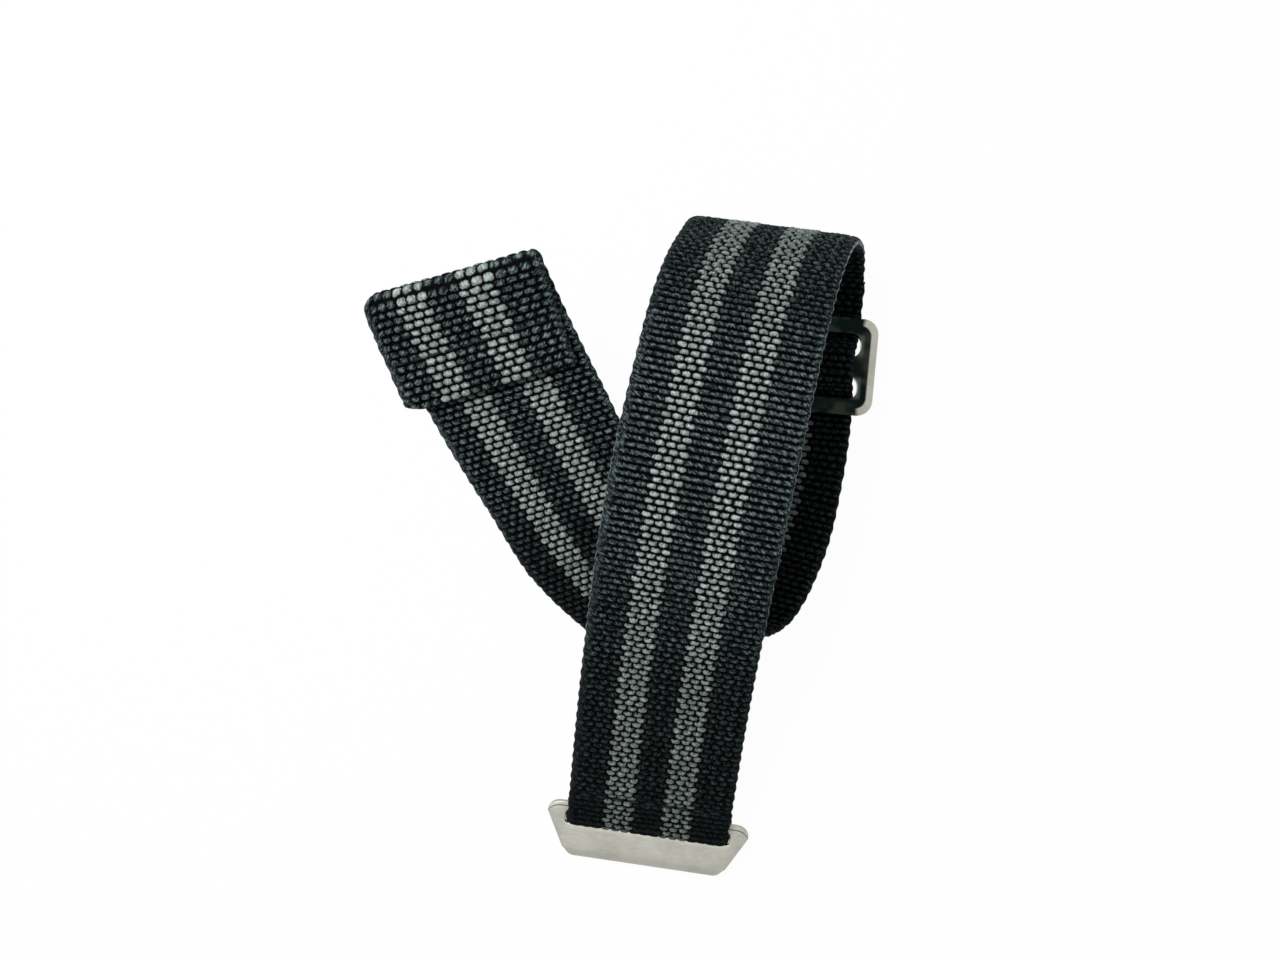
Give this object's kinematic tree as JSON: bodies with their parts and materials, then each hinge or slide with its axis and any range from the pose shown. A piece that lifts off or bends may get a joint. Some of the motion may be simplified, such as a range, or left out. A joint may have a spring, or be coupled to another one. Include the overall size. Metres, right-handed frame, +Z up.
{
  "type": "elastic watch strap",
  "caption": "Coiled single-piece elastic webbing watch strap with a flat metal end hook, a three-bar slider and a sewn tail fold.",
  "frame": {"origin": "on the outer face of the flat rear run, where the strap rests on a table, below the slider", "axes": "+Y along the flat rear run towards the top curl and the slider, +X across the webbing away from the tail, +Z up from the table towards the arched front run"},
  "size_m": [0.0593, 0.0809, 0.0311],
  "materials": {
    "webbing": "coarse woven elastic, black with two grey stripes",
    "thread": "black sewing thread",
    "hook_steel": "satin",
    "slider_steel": "polished satin"
  },
  "bodies": {
    "rear_run": {"rear_run_upper": "webbing", "rear_run_lower": "webbing"},
    "slider": {"slider": "slider_steel", "slider_wave": "webbing"},
    "top_curl_rear": {"top_curl_rear": "webbing"},
    "top_curl_front": {"top_curl_front": "webbing"},
    "front_run_upper": {"front_run_upper": "webbing"},
    "front_run_lower": {"front_run_lower": "webbing", "hook_loop": "webbing", "hook_end_stitching": "thread"},
    "hook": {"hook_plate": "hook_steel"},
    "bottom_curl_rear": {"bottom_curl_rear": "webbing"},
    "bottom_curl_tail": {"bottom_curl_tail": "webbing"},
    "tail_run": {"tail_run": "webbing"},
    "tail_end": {"tail_fold": "webbing", "tail_fold_stitching": "thread"}
  },
  "joints": [
    {"name": "slider_slide", "type": "slide", "parent": "rear_run", "child": "slider", "axis": [0, 1, 0], "range_m": [-0.0045, 0.002], "deforming": ["slider_wave"]},
    {"name": "top_bend_rear", "type": "hinge", "parent": "rear_run", "child": "top_curl_rear", "pos_m": [-0.0002, 0.02, 0.00277], "axis": [-0.9865, 0.0365, -0.1593], "range_deg": [0, 16], "stiffness_Nm_per_rad": 0.008},
    {"name": "top_bend_crown", "type": "hinge", "parent": "top_curl_rear", "child": "top_curl_front", "pos_m": [-0.00123, 0.02197, 0.0082], "axis": [-0.9683, 0.0807, -0.2364], "range_deg": [0, 16], "stiffness_Nm_per_rad": 0.008},
    {"name": "top_bend_front", "type": "hinge", "parent": "top_curl_front", "child": "front_run_upper", "pos_m": [-0.00326, 0.01974, 0.0155], "axis": [-0.9639, 0.0773, -0.2549], "range_deg": [0, 16], "stiffness_Nm_per_rad": 0.008},
    {"name": "front_flex", "type": "hinge", "parent": "front_run_upper", "child": "front_run_lower", "pos_m": [-0.00857, -0.00602, 0.02642], "axis": [-0.9889, 0.1114, -0.0986], "range_deg": [0, 18], "stiffness_Nm_per_rad": 0.006},
    {"name": "hook_swing", "type": "hinge", "parent": "front_run_lower", "child": "hook", "pos_m": [-0.01044, -0.05069, 0.00199], "axis": [0.998, -0.0422, 0.0475], "range_deg": [-40, 30]},
    {"name": "bottom_bend_rear", "type": "hinge", "parent": "rear_run", "child": "bottom_curl_rear", "pos_m": [-0.00378, -0.02238, 0.0054], "axis": [0.8529, -0.1047, 0.5114], "range_deg": [-6, 0], "stiffness_Nm_per_rad": 0.02, "springref_deg": 1.15},
    {"name": "bottom_bend_low", "type": "hinge", "parent": "bottom_curl_rear", "child": "bottom_curl_tail", "pos_m": [-0.00738, -0.02658, 0.00912], "axis": [0.6511, 0.1656, 0.7407], "range_deg": [-6, 0], "stiffness_Nm_per_rad": 0.02, "springref_deg": 1.15},
    {"name": "bottom_bend_tail", "type": "hinge", "parent": "bottom_curl_tail", "child": "tail_run", "pos_m": [-0.01317, -0.02411, 0.01356], "axis": [0.6994, 0.3279, 0.635], "range_deg": [-6, 0], "stiffness_Nm_per_rad": 0.02, "springref_deg": 1.15},
    {"name": "tail_stretch", "type": "slide", "parent": "tail_run", "child": "tail_end", "axis": [-0.5244, 0.7965, 0.3009], "range_m": [0, 0.006], "stiffness_N_per_m": 250}
  ],
  "couplings": [
    {"joint": "top_bend_crown", "follows": "top_bend_rear", "ratio": 1},
    {"joint": "top_bend_front", "follows": "top_bend_rear", "ratio": 1},
    {"joint": "bottom_bend_low", "follows": "bottom_bend_rear", "ratio": 1},
    {"joint": "bottom_bend_tail", "follows": "bottom_bend_rear", "ratio": 1}
  ]
}
